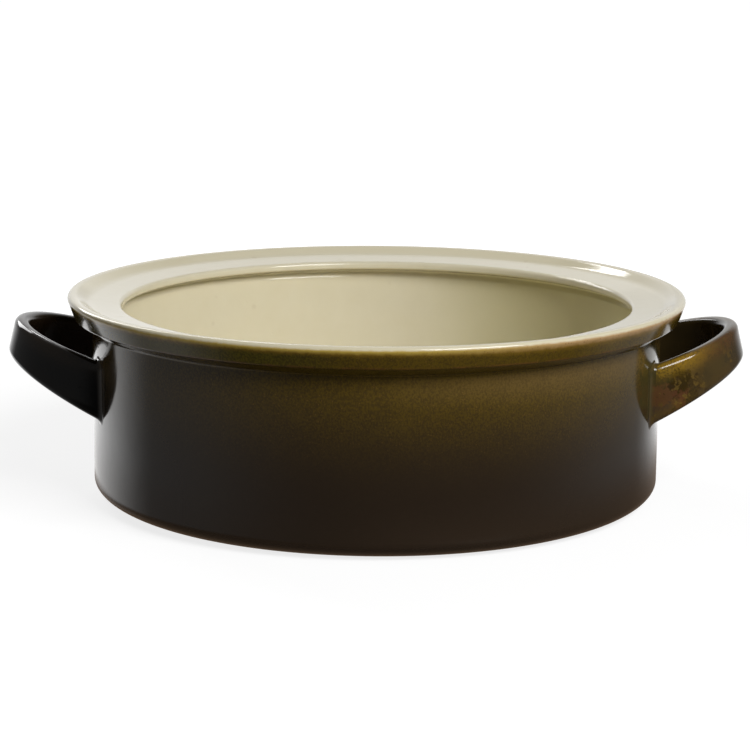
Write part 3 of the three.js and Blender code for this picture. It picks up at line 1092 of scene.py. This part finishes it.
turned_left = calc(tree, "SUBTRACT", to_back, times(tree, to_right, PAPER_TURN))
table = calc(tree, "ADD", fade(tree, turned_left, *TABLE_FRONT, *TABLE_DIM),
             fade(tree, turned_left, *TABLE_BACK, 0.0, TABLE_PAPER))
close_by = times(tree, fade(tree, turned_left, *CLOSE_BACK, 0.0, CLOSE_BY),
                 fade(tree, to_right, *CLOSE_LEFT, CLOSE_BY_RIGHT, 1.0))
table = number_mix(tree, fade(tree, to_top, *STEEP), table, close_by)
side = calc(tree, "MAXIMUM", fade(tree, to_right, *SWEEP_MIDDLE, SWEEP_LEFT, SWEEP_RIGHT),
            fade(tree, to_top, *SWEEP_HIGH))
sweep = times(tree, fade(tree, to_back, *SWEEP_BACK, SWEEP_DIM, 1.0), side)
mirrored = number_mix(tree, fade(tree, to_top, *HORIZON), table, sweep)
print("brightest paper on the table:", TABLE_DIM[1] + TABLE_PAPER)

# %% What each kind of ray sees
FILL = 0.055

path, seen = light_path(tree)
shiny = path["Is Glossy Ray"]
strength = calc(tree, "ADD", seen, times(tree, shiny, mirrored))
other = calc(tree, "SUBTRACT", 1.0, calc(tree, "MAXIMUM", seen, shiny))
backdrop = add_node(tree, "ShaderNodeBackground")
backdrop.inputs["Color"].default_value = (1, 1, 1, 1)
plug(tree, calc(tree, "ADD", strength, times(tree, other, FILL)), backdrop.inputs["Strength"])
plug(tree, backdrop.outputs[0], add_node(tree, "ShaderNodeOutputWorld").inputs[0])
print("soft fill from all round:", FILL)

# %% [markdown]
# Lamps
#
# One wide soft box in front and to the right lights the dish: it makes the left inside bright and
# leaves the right inside dim. A weak panel hangs overhead. A box behind on the left puts the shine
# on the lip and the handles, and a small one behind makes the bright patch on the right of the
# rim. Each is placed by its bearing and its height, as a photographer would note it.

# %% Soft boxes
LOOK_AT = Vector((0, 0, 0.06))


def soft_box(name, bearing, elevation, distance, width, height, watts):
    """An area lamp; bearing is in degrees to the right of the front of the dish."""
    lamp = bpy.data.lights.new(name, "AREA")
    lamp.shape, lamp.size, lamp.size_y, lamp.energy = "RECTANGLE", width, height, watts
    a, e = math.radians(bearing), math.radians(elevation)
    away = Vector((math.sin(a) * math.cos(e), -math.cos(a) * math.cos(e), math.sin(e)))
    stand = bpy.data.objects.new(name, lamp)
    stand.location = LOOK_AT + away * distance
    stand.rotation_euler = away.to_track_quat("Z", "Y").to_euler()
    stand.visible_camera = False
    bpy.context.scene.collection.objects.link(stand)
    print(f"{name}: {watts} W at bearing {bearing}, elevation {elevation}")


soft_box("key_box", bearing=37, elevation=36, distance=1.5, width=0.86, height=0.6, watts=20.0)
soft_box("top_panel", bearing=183, elevation=60, distance=1.4, width=1.3, height=0.6, watts=0.6)
soft_box("left_back_box", bearing=219, elevation=32, distance=1.5,
         width=0.55, height=0.78, watts=7.6)
soft_box("small_back_box", bearing=191.6, elevation=36, distance=1.5,
         width=0.18, height=0.17, watts=0.9)

# %% [markdown]
# Camera
#
# The camera's place and lens were fitted to the ellipses of the rim and the foot. It looks down
# by about twelve degrees through a long lens, and leans less than half a degree to one side.

# %% Camera
CAMERA_PLACE = Vector((0, -1.0252, 0.2588))
CAMERA_AIM = Vector((-0.00044, 0, 0.0503))
CAMERA_LEAN = math.radians(0.42)
LENS, SENSOR_WIDTH = 115.2, 36.0

camera = bpy.data.objects.new("camera", bpy.data.cameras.new("camera"))
camera.data.lens, camera.data.sensor_width = LENS, SENSOR_WIDTH
camera.location = CAMERA_PLACE
look = (CAMERA_AIM - CAMERA_PLACE).to_track_quat("-Z", "Y").to_matrix()
camera.rotation_euler = (look @ Matrix.Rotation(CAMERA_LEAN, 3, "Z")).to_euler()
bpy.context.scene.collection.objects.link(camera)
bpy.context.scene.camera = camera
bpy.context.scene.view_settings.view_transform = "Standard"
print("camera distance in m:", round((CAMERA_AIM - CAMERA_PLACE).length, 3))
